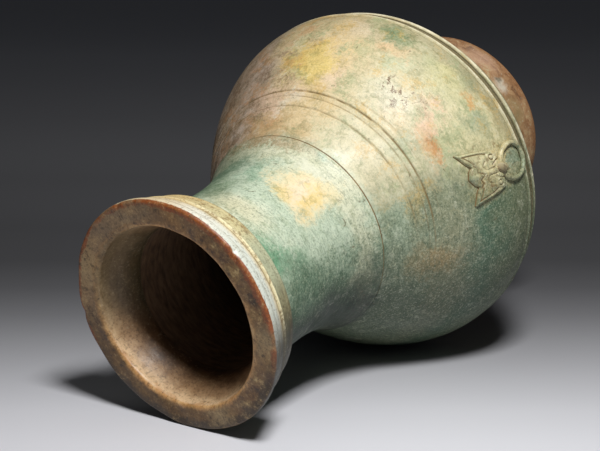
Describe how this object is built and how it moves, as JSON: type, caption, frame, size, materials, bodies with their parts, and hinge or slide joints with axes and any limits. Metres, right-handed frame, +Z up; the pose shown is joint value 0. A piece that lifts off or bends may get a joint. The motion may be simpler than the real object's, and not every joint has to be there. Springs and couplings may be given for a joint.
{
  "type": "storage jar",
  "caption": "Glazed earthenware storage jar with a dish mouth, trumpet neck, round belly with tooled lines, flared hollow foot and beast-mask ring handles in relief.",
  "frame": {"origin": "centre of the foot's underside, on the plane that the jar stands on", "axes": "+Z up along the jar's axis to its mouth; -Y out of the front mask, +Y out of the back mask"},
  "size_m": [0.283, 0.2908, 0.4],
  "materials": {
    "body_glaze": "mottled jade-green lead glaze over cream, with ochre and orange patches, fine speckle and throwing lines",
    "mouth_glaze": "grey-brown worn lip, red-brown edge, pale silvery band below",
    "foot_glaze": "thin brown glaze over terracotta",
    "mask_glaze": "olive and cream glaze, dark in the hollows",
    "luting_clay": "fired slip, matt"
  },
  "bodies": {
    "root": {"foot_ring": "foot_glaze", "lower_body": "body_glaze", "upper_body": "body_glaze", "neck": "body_glaze", "mouth_collar": "mouth_glaze", "lute_foot": "luting_clay", "lute_belly": "luting_clay", "lute_neck": "luting_clay", "lute_collar": "luting_clay", "mask_front": "mask_glaze", "mask_back": "mask_glaze", "ring_front": "mask_glaze", "ring_back": "mask_glaze", "lute_mask_front": "luting_clay", "lute_mask_back": "luting_clay"}
  },
  "joints": []
}
